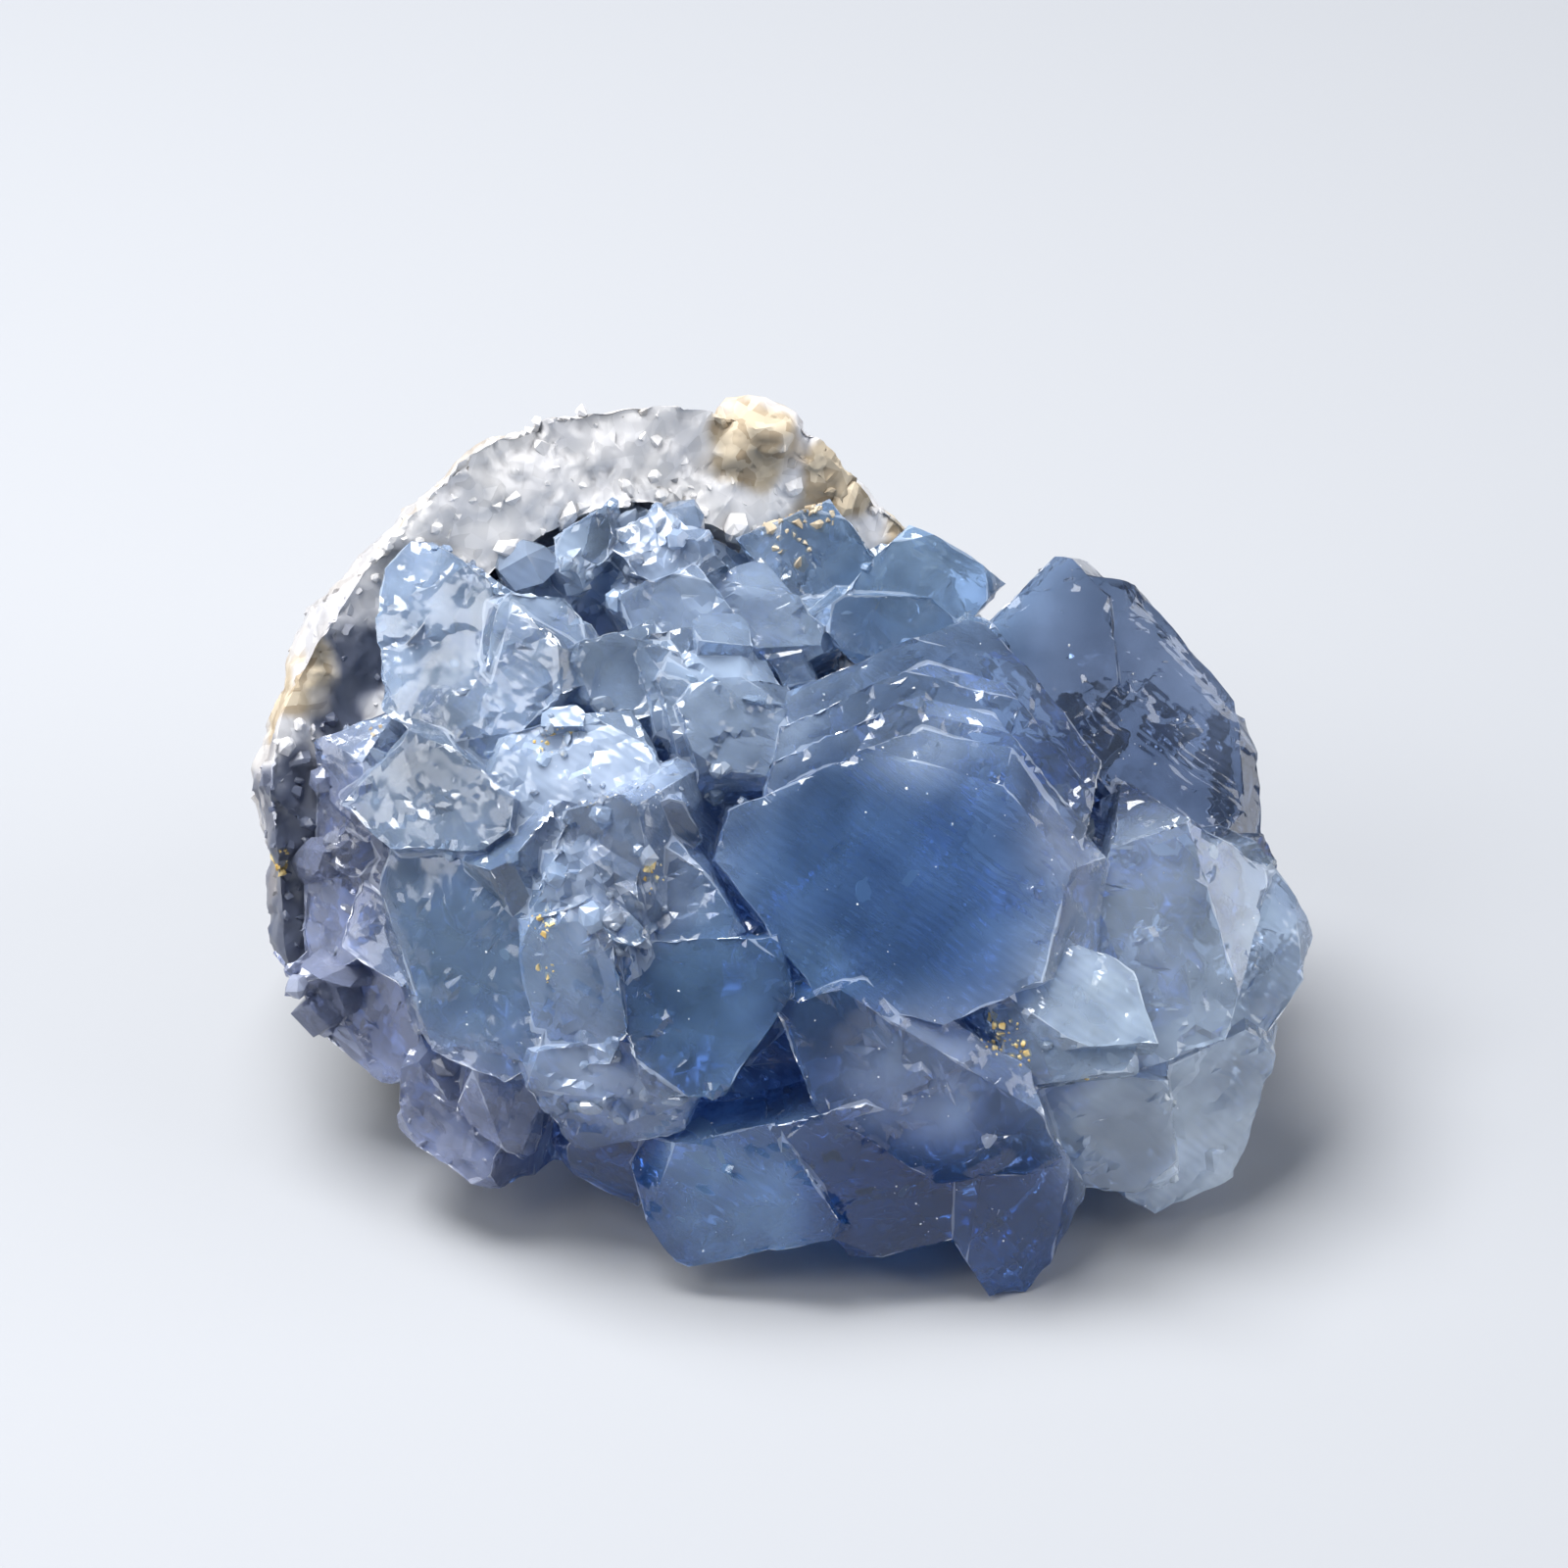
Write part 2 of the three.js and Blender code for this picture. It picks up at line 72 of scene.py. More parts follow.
def new_material(name):
    material = bpy.data.materials.new(name)
    material.use_nodes = True
    material.node_tree.nodes.clear()
    return material, material.node_tree


def colour_output(node):
    """A Mix node has an output for each kind of value; this is the one for colours."""
    return next(socket for socket in node.outputs if socket.type == "RGBA")


def set_ramp(node, *stops):
    for element, (position, hex_colour) in zip(node.color_ramp.elements, stops):
        element.position = position
        element.color = linear(hex_colour)


def per_mm(width):
    """Texture scale that makes a pattern about this many millimetres wide."""
    return 1 / (width * MM)


# %% [markdown]
# ## Camera, floor and light
# The photograph looks down at about 35 degrees with a long lens, so edges that run away from the viewer
# hardly converge. A long focal length from 420 mm away gives the same look. The floor is a plain sheet of matt
# paper. One large softbox stands overhead, a small one gives glints and two wide, weak ones fill the sides. None
# stands low in front, because the great blue face would mirror it and lose its depth.

# %% Camera
TARGET = Vector((0.386, 8.863, 18.6)) * MM
ELEVATION = math.radians(35)
DISTANCE = 420 * MM

camera = bpy.data.objects.new("camera", bpy.data.cameras.new("camera"))
camera.data.lens = 125.7
camera.data.clip_start = 10 * MM
camera.location = TARGET + DISTANCE * Vector((0, -math.cos(ELEVATION), math.sin(ELEVATION)))
camera.rotation_euler = (math.radians(90) - ELEVATION, 0, 0)
bpy.context.collection.objects.link(camera)
bpy.context.scene.camera = camera
print("camera at", [round(value / MM, 1) for value in camera.location], "mm")

# %% Floor
FLOOR_HALF = 2.0

floor_mesh = bpy.data.meshes.new("floor")
floor_corners = [(x * FLOOR_HALF, y * FLOOR_HALF, 0) for x, y in ((-1, -1), (1, -1), (1, 1), (-1, 1))]
floor_mesh.from_pydata(floor_corners, [], [(0, 1, 2, 3)])
floor = bpy.data.objects.new("floor", floor_mesh)
bpy.context.collection.objects.link(floor)
# matt paper has no gloss at all, so the floor shows soft shadows and nothing else
paper, tree = new_material("matt pale paper")
surface = add_node(tree, "ShaderNodeBsdfPrincipled", {
    "Base Color": linear("#a6a8ac"), "Roughness": 0.8, "Specular IOR Level": 0.0})
add_node(tree, "ShaderNodeOutputMaterial", {"Surface": surface.outputs[0]})
floor_mesh.materials.append(paper)
print("floor", 2 * FLOOR_HALF, "m wide")

# %% Sky and softboxes
SKY = {"Color": linear("#b9c8e2"), "Strength": 0.24}
# name, place and width in metres, watts
SOFTBOXES = [
    ("overhead", (-0.16, 0.08, 0.55), 0.36, 6.2),
    ("glint", (-0.32, -0.3, 0.5), 0.22, 0.9),
    ("right fill", (0.68, -0.12, 0.32), 0.6, 3.4),
    ("left fill", (-0.6, -0.15, 0.3), 0.4, 1.6),
]

world = bpy.data.worlds.new("studio")
world.use_nodes = True
for key, value in SKY.items():
    world.node_tree.nodes["Background"].inputs[key].default_value = value
bpy.context.scene.world = world
bpy.context.scene.view_settings.view_transform = "Standard"

for name, place, width, watts in SOFTBOXES:
    light = bpy.data.objects.new(name, bpy.data.lights.new(name, "AREA"))
    light.data.size = width
    light.data.energy = watts
    light.location = place
    light.rotation_euler = (TARGET - light.location).to_track_quat("-Z", "Y").to_euler()
    bpy.context.collection.objects.link(light)

# light paths: five turns are enough to get through the crystals, and very bright stray sparks are held down
light_paths = bpy.context.scene.cycles
light_paths.max_bounces = 5
light_paths.transmission_bounces = 5
light_paths.diffuse_bounces = 1
light_paths.glossy_bounces = 3
light_paths.sample_clamp_indirect = 3.0
print("sky and", len(SOFTBOXES), "softboxes")

# %% [markdown]
# ## Where each look of the celestite is
# One nodule holds celestite of many looks: deep clear blue where a crystal grew large and slowly, milky where
# fine bubbles were trapped, smoky lilac at the left, pale aqua at the right, and frosted where late growth
# roughened the faces. A painter would block these in crystal by crystal. Here each look is a short list of
# values, each patch names a look and a ball of space, and every corner of the mesh blends the patches near it.

# %% Looks and patches
# tint, clear (share of light that goes through) and frost (how rough and white the faces are)
LOOKS = {
    "deep blue": ("#6494d2", 0.85, 0.04),
    # partly painted shade: a deep blue, darkened further as if little light came up from the floor or from the
    # front
    "dark blue with painted shade": ("#1460a8", 0.85, 0.05),
    "mid blue": ("#96caff", 0.85, 0.14),
    "sky blue": ("#b0d6ff", 0.80, 0.14),
    "pale aqua": ("#d4e9ff", 0.74, 0.18),
    "milky": ("#bed9fa", 0.78, 0.26),
    "frosted": ("#b6d0f4", 0.75, 0.42),
    "smoky lilac": ("#b2bde2", 0.78, 0.30),
    # painted shade: the clear point is tinted grey as if a dark backdrop showed through it
    "clear grey with painted shade": ("#7486a4", 0.88, 0.12),
    # painted light: the foot lies in shade under the knob, so its tint is paler and less clear than pale aqua
    "pale foot with painted light": ("#e2f1ff", 0.60, 0.18),
    "dusty": ("#b0c2e0", 0.75, 0.30),
}
# look, middle in millimetres, radius
PATCHES = [
    ("deep blue", (7.8, -18.9, 29.5), 12),
    ("mid blue", (2.6, -22.6, 24.6), 4),
    ("milky", (9.5, -11.0, 35.5), 5),
    ("dusty", (20.8, -15.6, 30.6), 4),
    ("mid blue", (-6.0, -25.1, 23.5), 6),
    ("sky blue", (-22.8, -18.1, 23.2), 8),
    ("milky", (-25.4, -11.7, 33.1), 7),
    ("milky", (-22.7, -2.9, 39.2), 8),
    ("frosted", (-14.0, -13.9, 33.6), 6),
    ("frosted", (-10.1, -20.1, 29.0), 5),
    ("milky", (-10.7, -6.2, 38.5), 6),
    ("milky", (-2.8, -9.4, 36.3), 6),
    # painted shade: the front feet take the darkened blue
    ("dark blue with painted shade", (7.2, -29.2, 9.0), 9),
    ("dark blue with painted shade", (17.4, -28.7, 7.0), 6),
    ("dusty", (9.6, -27.7, 17.5), 7),
    ("frosted", (7.3, -27.2, 20.2), 2.6),
    ("frosted", (12.5, -28.2, 16.4), 2.4),
    ("mid blue", (-2.1, -29.4, 8.9), 6),
    # painted shade: this foot takes the darkened blue too
    ("dark blue with painted shade", (-11.4, -24.1, 7.0), 6),
    ("frosted", (-12.0, -26.1, 16.0), 5),
    ("smoky lilac", (-24.3, -21.5, 9.7), 7),
    ("smoky lilac", (-33.8, -7.3, 23.3), 8),
    ("smoky lilac", (-30.8, -11.3, 12.4), 8),
    ("pale aqua", (29.7, -16.9, 23.1), 9),
    ("pale aqua", (22.0, -22.7, 22.0), 5),
    # painted light: the shaded foot takes the paler look
    ("pale foot with painted light", (23.8, -23.0, 10.3), 6),
    ("pale foot with painted light", (30.7, -19.8, 8.1), 7),
    # painted shade: the clear point takes the greyed tint
    ("clear grey with painted shade", (26.0, -0.5, 32.0), 10),
    ("clear grey with painted shade", (31.8, 0.9, 24.5), 8),
    ("sky blue", (10.1, 8.1, 37.4), 7),
    ("milky", (-1.7, 4.9, 35.6), 6),
    ("frosted", (-9.1, 6.8, 40.9), 5),
    ("milky", (-14.5, 6.9, 41.6), 4),
    ("frosted", (-19.3, 8.1, 38.3), 6),
    ("milky", (-7.0, 2.0, 37.5), 5),
]


# how fast a patch fades with distance, and how flat it is in its middle
PATCH_FADE = 4
PATCH_FLAT = 0.05


def blended_looks(points):
    """Tint, clear and frost at each point, from the patches around it."""
    values = np.array([linear(tint)[:3] + [clear, frost] for tint, clear, frost in LOOKS.values()])
    order = list(LOOKS)
    total = np.zeros((len(points), values.shape[1]))
    weight = np.zeros((len(points), 1))
    for look, middle, radius in PATCHES:
        distance = np.linalg.norm(points - np.array(middle) * MM, axis=1) / (radius * MM)
        near = 1 / (distance ** PATCH_FADE + PATCH_FLAT)
        total += near[:, None] * values[order.index(look)]
        weight += near[:, None]
    return total / weight


print(len(LOOKS), "looks on", len(PATCHES), "patches")

# %% [markdown]
# ## The druse, part 1: a finer mesh
# The CAD solid has each crystal face as a few large triangles. To chip its edges and roughen its frosted
# faces it needs corners about every half millimetre. A remesh would melt the sharp edges, so instead long edges
# are split again and again, and only edges inside a flat face are flipped for better triangles.

# %% Copy a solid and split its long edges
FLAT = math.radians(0.5)
SAME_PLACE = 0.002 * MM
DRUSE_EDGE = 0.85 * MM


def copied_solid(node_name):
    bm = bmesh.new()
    bm.from_mesh(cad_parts[node_name].data)
    bmesh.ops.remove_doubles(bm, verts=bm.verts, dist=SAME_PLACE)
    return bm


def split_long_edges(bm, longest, passes):
    for _ in range(passes):
        long_edges = [edge for edge in bm.edges if edge.calc_length() > longest]
        bmesh.ops.subdivide_edges(bm, edges=long_edges, cuts=1)
        bmesh.ops.triangulate(bm, faces=[face for face in bm.faces if len(face.verts) > 3])
        inside = [edge for edge in bm.edges if edge.is_manifold and edge.calc_face_angle() < FLAT]
        bmesh.ops.beautify_fill(bm, faces=bm.faces, edges=inside, method="ANGLE")
    bm.normal_update()


druse_bm = copied_solid("crystals")
split_long_edges(druse_bm, DRUSE_EDGE, passes=4)
print("druse has", len(druse_bm.faces), "triangles")

# %% [markdown]
# ## The druse, part 2: what each corner and face knows
# Three things are measured once on the flat faces, before anything is moved. Which crystal face a triangle
# belongs to gives each face its own shade, because no two faces are equally polished. How far a corner is from
# the nearest sharp edge lets the edges be chipped and lined with white: partly the white of nicked edges, as on
# every handled specimen, and partly a painted highlight where a small bevel would catch the light. The looks of
# the patches give colour, clearness and frost.

# %% Measure faces, edges and looks
SHARP = math.radians(8)
SPREAD = 0.618034


def face_shades(bm):
    """A number from 0 to 1 for each triangle, the same all over one flat crystal face."""
    bm.faces.ensure_lookup_table()
    bm.faces.index_update()
    shade = np.full(len(bm.faces), -1.0)
    count = 0
    for first in bm.faces:
        if shade[first.index] >= 0:
            continue
        count += 1
        value = (count * SPREAD) % 1
        shade[first.index] = value
        todo = [first]
        while todo:
            for edge in todo.pop().edges:
                if edge.calc_face_angle(math.pi) > SHARP:
                    continue
                for face in edge.link_faces:
                    if shade[face.index] < 0:
                        shade[face.index] = value
                        todo.append(face)
    print(count, "crystal faces")
    return shade


def distance_to_edges(bm):
    """Distance from each corner to the nearest sharp edge."""
    sharp = [edge for edge in bm.edges if edge.calc_face_angle(math.pi) > SHARP]
    spots = [vert.co for edge in sharp for vert in edge.verts]
    spots += [(edge.verts[0].co + edge.verts[1].co) / 2 for edge in sharp]
    tree = kdtree.KDTree(len(spots))
    for index, spot in enumerate(spots):
        tree.insert(spot, index)
    tree.balance()
    return np.array([tree.find(vert.co)[2] for vert in bm.verts])


druse_bm.verts.index_update()
shade = face_shades(druse_bm)
edge_distance = distance_to_edges(druse_bm)
points = np.array([vert.co for vert in druse_bm.verts])
looks = blended_looks(points)
frost_share = looks[:, 4]
print("druse has", len(points), "corners;", int((edge_distance < SAME_PLACE).sum()), "of them on sharp edges")

# %% [markdown]
# ## The druse, part 3: chips and frost as real relief
# Celestite is soft and brittle, so its edges are nicked, and the frosted faces are broken into small faces that
# lean every way. Both are made by moving corners along their normals: inwards by noise near an edge, and up and
# down by a cell pattern, most of all where there is frost.

# %% Move the corners
CHIP = {"deepest": 0.35 * MM, "reach": 0.7 * MM, "width": 2.2 * MM, "common": 0.15}
# small broken faces: width and lean of the broad ones, and of the fine ones that come in patches
BROAD = (3.6 * MM, 0.2)
FINE = (1.6 * MM, 0.18)
FINE_PATCH = 6 * MM
SCOOP = 0.05
CENTRE = Vector((0.5, 0.5, 0.5))
DRUSE_CREASE = math.radians(4)


def facets(point, width, lean):
    """Height of a broken surface: shallow scoops about this wide, which lean their own ways."""
    spot = point / width
    heights = []
    for middle in noise.voronoi(spot)[1]:
        away = spot - middle
        slope = noise.cell_vector(middle * 50) - CENTRE
        heights.append(SCOOP * away.length_squared + 2 * lean * slope.dot(away))
    return width * min(heights)


def roughen(bm, edge_distance, frost):
    moves = []
    for vert in bm.verts:
        nearness = max(0.0, 1 - edge_distance[vert.index] / CHIP["reach"])
        nick = max(0.0, noise.noise(vert.co / CHIP["width"]) + CHIP["common"])
        uneven = min(1.0, max(0.1, 2.4 * frost[vert.index]))
        patchy = max(0.0, 0.4 + noise.noise(vert.co / FINE_PATCH))
        broken = facets(vert.co, *BROAD) + patchy * facets(vert.co, *FINE)
        moves.append(uneven * broken - CHIP["deepest"] * nick * nearness)
    normals = [vert.normal.copy() for vert in bm.verts]
    for vert, normal, move in zip(bm.verts, normals, moves):
        vert.co += normal * move
        vert.co.z = max(vert.co.z, 0.0)


roughen(druse_bm, edge_distance, frost_share)
druse_mesh = bpy.data.meshes.new("crystals")
druse_bm.to_mesh(druse_mesh)
druse_bm.free()
druse_mesh.shade_smooth()
druse_mesh.set_sharp_from_angle(angle=DRUSE_CREASE)
print("druse roughened")

# %% Keep the measures on the mesh
def keep(mesh, name, values, kind="FLOAT", domain="POINT"):
    attribute = mesh.attributes.new(name, kind, domain)
    field = "color" if kind == "FLOAT_COLOR" else "value"
    attribute.data.foreach_set(field, np.ravel(values).astype(np.float32))


VEIL_WIDTH = 7 * MM
BREAK_WIDTH = 3 * MM
LINE_MM = 0.22

# veils are clouds of fine bubbles; they lighten the tint and gather the frost
veil = np.array([0.5 + 0.3 * noise.fractal(Vector(point) / VEIL_WIDTH, 0.8, 2.0, 4) for point in points])
veil_light = np.interp(veil, [0.3, 0.7], [0.74, 1.3])
frost_cloud = frost_share * np.interp(veil, [0.35, 0.7], [0.15, 1.0])
# thin white lines follow the edges and break off every few millimetres, partly the white of nicked edges and
# partly a painted highlight: below zero is on a line
breaks = np.array([0.5 + 0.5 * noise.noise(Vector(point) / BREAK_WIDTH) for point in points])
off_the_line = edge_distance / MM - np.interp(breaks, [0.5, 0.72], [0.0, LINE_MM])

# every attribute costs time in each ray, so four values share one: red, green, blue and alpha
tints = looks[:, :3] * veil_light[:, None]
keep(druse_mesh, "tint", np.column_stack([tints, off_the_line]), kind="FLOAT_COLOR")
keep(druse_mesh, "finish", np.column_stack([looks[:, 3:], frost_cloud, veil]), kind="FLOAT_COLOR")
keep(druse_mesh, "shade", shade, domain="FACE")

druse = bpy.data.objects.new("crystal_druse", druse_mesh)
bpy.context.collection.objects.link(druse)
print("attributes:", [a.name for a in druse_mesh.attributes if not a.name.startswith(".")])

# %% [markdown]
# ## Celestite
# Celestite is strontium sulphate, a clear mineral with a glassy lustre and an index of refraction of 1.62.
# Light goes in, loses some red on its way and comes out blue, so the shader is transmission with a constant
# absorption in the volume. The surface adds what the polish of each face, the frost and the white, nicked edges
# do: less light goes through and more is scattered back. The white lines on the edges are also a painted
# highlight, in place of the light that small bevels on them would catch.

# %% Celestite material
CELESTITE_IOR = 1.62

celestite, tree = new_material("blue celestite crystal")
place = add_node(tree, "ShaderNodeTexCoord").outputs["Object"]
tint = add_node(tree, "ShaderNodeAttribute", attribute_name="tint").outputs
finish = add_node(tree, "ShaderNodeAttribute", attribute_name="finish").outputs
clear, frost, frost_cloud = add_node(tree, "ShaderNodeSeparateXYZ", {0: finish["Vector"]}).outputs
shade = add_node(tree, "ShaderNodeAttribute", attribute_name="shade").outputs["Fac"]

# white: the thin broken lines on the edges (nicked edges, and partly a painted highlight), and frost, more on
# some faces than on others
edge_line = add_node(tree, "ShaderNodeMath", {0: tint["Alpha"], 1: 0.0}, operation="LESS_THAN")
# painted highlight: the edge lines lighten the colour along the edges, as well as showing nicked edges
edge_white_and_highlight = add_node(tree, "ShaderNodeMath", {0: edge_line.outputs[0], 1: 0.4}, operation="MULTIPLY")
by_face = add_node(tree, "ShaderNodeMapRange", {"Value": shade, 3: 0.3, 4: 1.1})
frost_all = add_node(tree, "ShaderNodeMath", {0: frost_cloud, 1: by_face.outputs[0]}, operation="MULTIPLY")
white = add_node(tree, "ShaderNodeMath", {0: frost_all.outputs[0], 1: edge_white_and_highlight.outputs[0]}, operation="MAXIMUM")

face_light = add_node(tree, "ShaderNodeMapRange", {"Value": shade, 3: 0.78, 4: 1.14})
shaded = add_node(tree, "ShaderNodeVectorMath", {
    0: tint["Vector"], "Scale": face_light.outputs[0]}, operation="SCALE")
whitened = add_node(tree, "ShaderNodeMix", {
    "Factor": white.outputs[0], "A": shaded.outputs[0], "B": linear("#e6ebf3")}, data_type="RGBA")
dimmed = add_node(tree, "ShaderNodeMath", {0: white.outputs[0], 1: -0.7, 2: 1.0}, operation="MULTIPLY_ADD")
through = add_node(tree, "ShaderNodeMath", {0: clear, 1: dimmed.outputs[0]}, operation="MULTIPLY")
dulled = add_node(tree, "ShaderNodeMath", {0: white.outputs[0], 1: frost}, operation="MAXIMUM")
rough = add_node(tree, "ShaderNodeMapRange", {"Value": dulled.outputs[0], 1: 0.1, 2: 0.8, 3: 0.05, 4: 0.42})

# growth lines: fine ridges about 0.7 mm apart, which wander with the veils and are cut deeper on some faces
LINES_APART = 0.6928
BANDS_PER_UNIT = 10 * math.sqrt(3) / math.tau
wander = add_node(tree, "ShaderNodeMath", {0: finish["Alpha"], 1: 16.0}, operation="MULTIPLY")
streaks = add_node(tree, "ShaderNodeTexWave", {
    "Vector": place, "Scale": per_mm(LINES_APART) / BANDS_PER_UNIT, "Phase Offset": wander.outputs[0],
}, bands_direction="DIAGONAL")
lined = add_node(tree, "ShaderNodeMapRange", {"Value": shade, 1: 0.2, 2: 0.9, 3: 0.0, 4: 0.8})
bump = add_node(tree, "ShaderNodeBump", {
    "Height": streaks.outputs["Fac"], "Strength": lined.outputs[0], "Distance": 0.02 * MM})
surface = add_node(tree, "ShaderNodeBsdfPrincipled", {
    "Base Color": colour_output(whitened), "Roughness": rough.outputs[0], "IOR": CELESTITE_IOR,
    "Transmission Weight": through.outputs[0], "Normal": bump.outputs[0],
})
inside = add_node(tree, "ShaderNodeVolumeAbsorption", {"Color": linear("#a6c3ec"), "Density": 36.0})
add_node(tree, "ShaderNodeOutputMaterial", {"Surface": surface.outputs[0], "Volume": inside.outputs[0]})

druse_mesh.materials.clear()
druse_mesh.materials.append(celestite)
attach(druse, "root")
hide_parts("crystals")
print("celestite on", druse.name)

# %% [markdown]
# ## The rind, part 1: a granular wall
# The rind is massive, sugary celestite: grains about a millimetre across, grown so close that the wall breaks
# through and between them. The CAD solid has its large lumps and its broken rim. Here its mesh is split like the
# druse's, and each corner is moved by cell patterns, so that every cell becomes a lump, a broken face or a grain.

# %% Sizes and spots of the rind
RIND_EDGE = 0.66 * MM
RIND_CREASE = math.radians(18)
LUMP = {"height": 0.8 * MM, "width": 4.5 * MM}
# broken faces of the wall: width and lean
COARSE_BREAK = (2.8 * MM, 0.2)
GRAIN_BREAK = (1.2 * MM, 0.13)
# the way that the broken rim looks
RIM_FACING = Vector((0.4, -0.85, 0.345)).normalized()
# windows of smoky clear celestite in the wall: middle in millimetres, radius
WINDOWS = [
    ((-31.0, 1.7, 33.9), 3.6), ((-32.4, -0.7, 31.1), 2.4), ((-36.5, -6.0, 22.0), 9.0), ((-36.0, -7.0, 14.0), 8.0),
]
# spots of tan host rock: middle in millimetres, radius
HOST_ROCK = [
    ((-2.4, 20.4, 42.8), 5.0), ((-2.2, 17.9, 43.4), 3.5), ((1.1, 13.9, 39.9), 4.0), ((6.0, 18.0, 40.0), 5.0),
    ((-31.9, -4.1, 33.8), 3.2), ((-35.6, -1.1, 35.6), 4.0), ((-36.5, 4.0, 30.0), 4.5),
    ((-26.0, 20.0, 30.0), 9.0), ((-5.0, 27.0, 22.0), 10.0), ((-18.0, 22.0, 8.0), 9.0), ((8.0, 21.0, 30.0), 6.0),
]


def spots_share(points, spots, soft, wobble):
    """How far inside the nearest spot each point is, from 0 to 1, with a wobbly border."""
    share = np.zeros(len(points))
    shift = np.array([noise.noise(Vector(point) / wobble) for point in points])
    for middle, radius in spots:
        distance = np.linalg.norm(points - np.array(middle) * MM, axis=1) / (radius * MM)
        share = np.maximum(share, np.clip((1 - distance + 0.5 * shift) / soft, 0, 1))
    return share


# %% Split and break the rind
rind_bm = copied_solid("rind")
split_long_edges(rind_bm, RIND_EDGE, passes=5)
rind_normals = [vert.normal.copy() for vert in rind_bm.verts]
for vert, normal in zip(rind_bm.verts, rind_normals):
    lump = 0.5 - noise.voronoi(vert.co / LUMP["width"])[0][0]
    broken = facets(vert.co, *COARSE_BREAK) + facets(vert.co, *GRAIN_BREAK)
    vert.co += normal * (LUMP["height"] * lump + broken)
    vert.co.z = max(vert.co.z, 0.0)
rind_mesh = bpy.data.meshes.new("rind")
rind_bm.to_mesh(rind_mesh)
rind_bm.free()
rind_mesh.shade_smooth()
rind_mesh.set_sharp_from_angle(angle=RIND_CREASE)
rind = bpy.data.objects.new("granular_rind", rind_mesh)
bpy.context.collection.objects.link(rind)
print("rind has", len(rind_mesh.polygons), "triangles")

# %% Stains and windows of the rind
BORDER_WOBBLE = 2.5 * MM
STAIN_WIDTH = 6 * MM

rind_points = np.array([vert.co for vert in rind_mesh.vertices])
host_share = spots_share(rind_points, HOST_ROCK, 0.35, BORDER_WOBBLE)
# the outer skin of the nodule lay against the limestone and is still stained by it
skin = np.clip([0.5 - 1.5 * normal.dot(RIM_FACING) for normal in rind_normals], 0, 1)
stain = np.clip([0.5 + 0.7 * noise.noise(Vector(point) / STAIN_WIDTH) for point in rind_points], 0, 1)
host_share = np.maximum(host_share, np.clip(skin - 0.3, 0, 1) * stain)
keep(rind_mesh, "host", host_share)
keep(rind_mesh, "skin", skin)
keep(rind_mesh, "window", spots_share(rind_points, WINDOWS, 0.3, BORDER_WOBBLE) * (1 - host_share))
print("host rock on", int((host_share > 0.5).sum()), "of", len(rind_points), "corners")

# %% [markdown]
# ## The rind, part 2: its finish
# Sugary celestite is so full of grain borders that it scatters nearly all light back, so it is white in the light
# and grey in the hollows. Only a few coarse windows let light through and look smoky. Where the limestone of the
# host still clings to the wall, it is tan and dull. A cell pattern of the same width as the grains gives each
# grain its own grey.

# %% Sugary celestite and limestone material
sugary, tree = new_material("sugary celestite and limestone")
place = add_node(tree, "ShaderNodeTexCoord").outputs["Object"]
host = add_node(tree, "ShaderNodeAttribute", attribute_name="host").outputs["Fac"]
grains = add_node(tree, "ShaderNodeTexVoronoi", {"Vector": place, "Scale": per_mm(1.1)})
clouds = add_node(tree, "ShaderNodeTexNoise", {"Vector": place, "Scale": per_mm(9), "Detail": 3.0})
grey = add_node(tree, "ShaderNodeValToRGB", {"Fac": clouds.outputs[0]})
set_ramp(grey, (0.32, "#d6d6db"), (0.62, "#eae8e7"))
skin = add_node(tree, "ShaderNodeAttribute", attribute_name="skin").outputs["Fac"]
grain_light = add_node(tree, "ShaderNodeMapRange", {"Value": grains.outputs["Color"], 3: 0.8, 4: 1.1})
skin_light = add_node(tree, "ShaderNodeMapRange", {"Value": skin, 3: 1.0, 4: 0.62})
light_share = add_node(tree, "ShaderNodeMath", {
    0: grain_light.outputs[0], 1: skin_light.outputs[0]}, operation="MULTIPLY")
white_part = add_node(tree, "ShaderNodeVectorMath", {
    0: grey.outputs[0], "Scale": light_share.outputs[0]}, operation="SCALE")
tan = add_node(tree, "ShaderNodeValToRGB", {"Fac": grains.outputs["Color"]})
set_ramp(tan, (0.0, "#917e64"), (1.0, "#cfc2ab"))
window = add_node(tree, "ShaderNodeAttribute", attribute_name="window").outputs["Fac"]
smoky = add_node(tree, "ShaderNodeMix", {
    "Factor": window, "A": white_part.outputs[0], "B": linear("#8d97b3")}, data_type="RGBA")
mixed = add_node(tree, "ShaderNodeMix", {
    "Factor": host, "A": colour_output(smoky), "B": tan.outputs[0]}, data_type="RGBA")
rough = add_node(tree, "ShaderNodeMapRange", {"Value": host, 3: 0.3, 4: 0.9})
through = add_node(tree, "ShaderNodeMapRange", {"Value": window, 3: 0.0, 4: 0.7})
surface = add_node(tree, "ShaderNodeBsdfPrincipled", {
    "Base Color": colour_output(mixed), "Roughness": rough.outputs[0], "IOR": CELESTITE_IOR,
    "Transmission Weight": through.outputs[0],
})
add_node(tree, "ShaderNodeOutputMaterial", {"Surface": surface.outputs[0]})
rind_mesh.materials.clear()
rind_mesh.materials.append(sugary)
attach(rind, "root")
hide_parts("rind")
print("finish on", rind.name)

# %% [markdown]
# ## Scattered crystals and grains
# Frost, sugar, crumbs and dust are thousands of small bodies that sit on a surface, and Geometry Nodes scatter
# them. One tree serves for all: it spreads points where an attribute of the surface says so, sets one of a few
# small shapes on each, turns and sizes it by chance with a fixed seed, and makes the result real.

